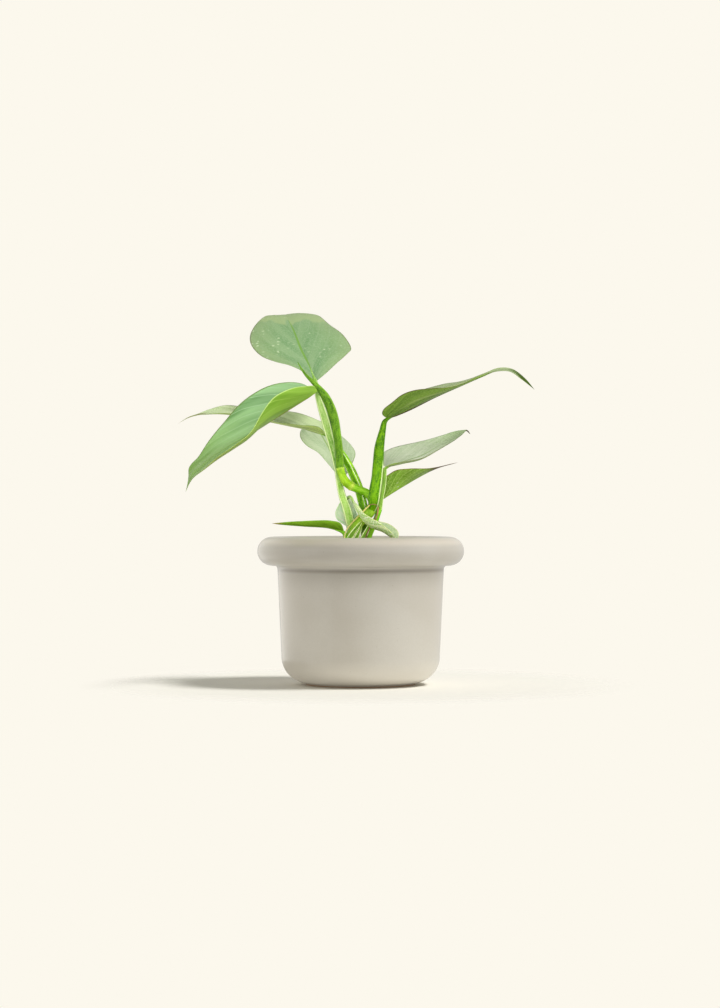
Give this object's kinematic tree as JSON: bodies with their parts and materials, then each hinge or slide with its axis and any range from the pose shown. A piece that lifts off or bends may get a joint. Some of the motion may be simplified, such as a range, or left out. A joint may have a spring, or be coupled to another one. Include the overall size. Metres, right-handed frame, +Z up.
{
  "type": "potted philodendron hastatum",
  "caption": "Young philodendron with folded silvery green leaves on long petioles, standing in a glazed ceramic pot with a fat rolled rim.",
  "frame": {"origin": "centre of the pot's flat foot, on the surface that it stands on, on the pot's axis", "axes": "+Z up along the pot's axis; -Y towards the picture's viewer; +X to the viewer's right"},
  "size_m": [0.2705, 0.1745, 0.2837],
  "materials": {
    "pot_glaze": "warm grey glaze, glossy",
    "potting_mix": "loose peat and bark, matt",
    "stem_green": "living stem, satin",
    "petiole_green": "living leaf stalk, satin",
    "leaf_silver_green": "living leaf, silvery, satin",
    "leaf_mid_green": "living leaf, satin",
    "root_tan": "dry aerial root",
    "root_brown": "dry aerial root"
  },
  "bodies": {
    "root": {"pot": "pot_glaze", "potting_mix": "potting_mix", "vine_stem": "stem_green", "petiole_left": "stem_green", "petiole_far_left": "stem_green", "petiole_right": "stem_green", "side_stem": "stem_green", "petiole_low_left": "stem_green", "petiole_top": "petiole_green", "petiole_back": "petiole_green", "petiole_right_middle": "petiole_green", "petiole_right_low": "petiole_green", "petiole_small": "petiole_green", "petiole_low_front": "petiole_green", "leaf_top": "leaf_silver_green", "leaf_left": "leaf_silver_green", "leaf_far_left": "leaf_silver_green", "leaf_back": "leaf_silver_green", "leaf_right_middle": "leaf_silver_green", "leaf_small_upright": "leaf_silver_green", "leaf_low_front": "leaf_silver_green", "leaf_right_top": "leaf_mid_green", "leaf_right_low": "leaf_mid_green", "leaf_low_left": "leaf_mid_green", "root_tan": "root_tan", "root_brown": "root_brown"}
  },
  "joints": []
}
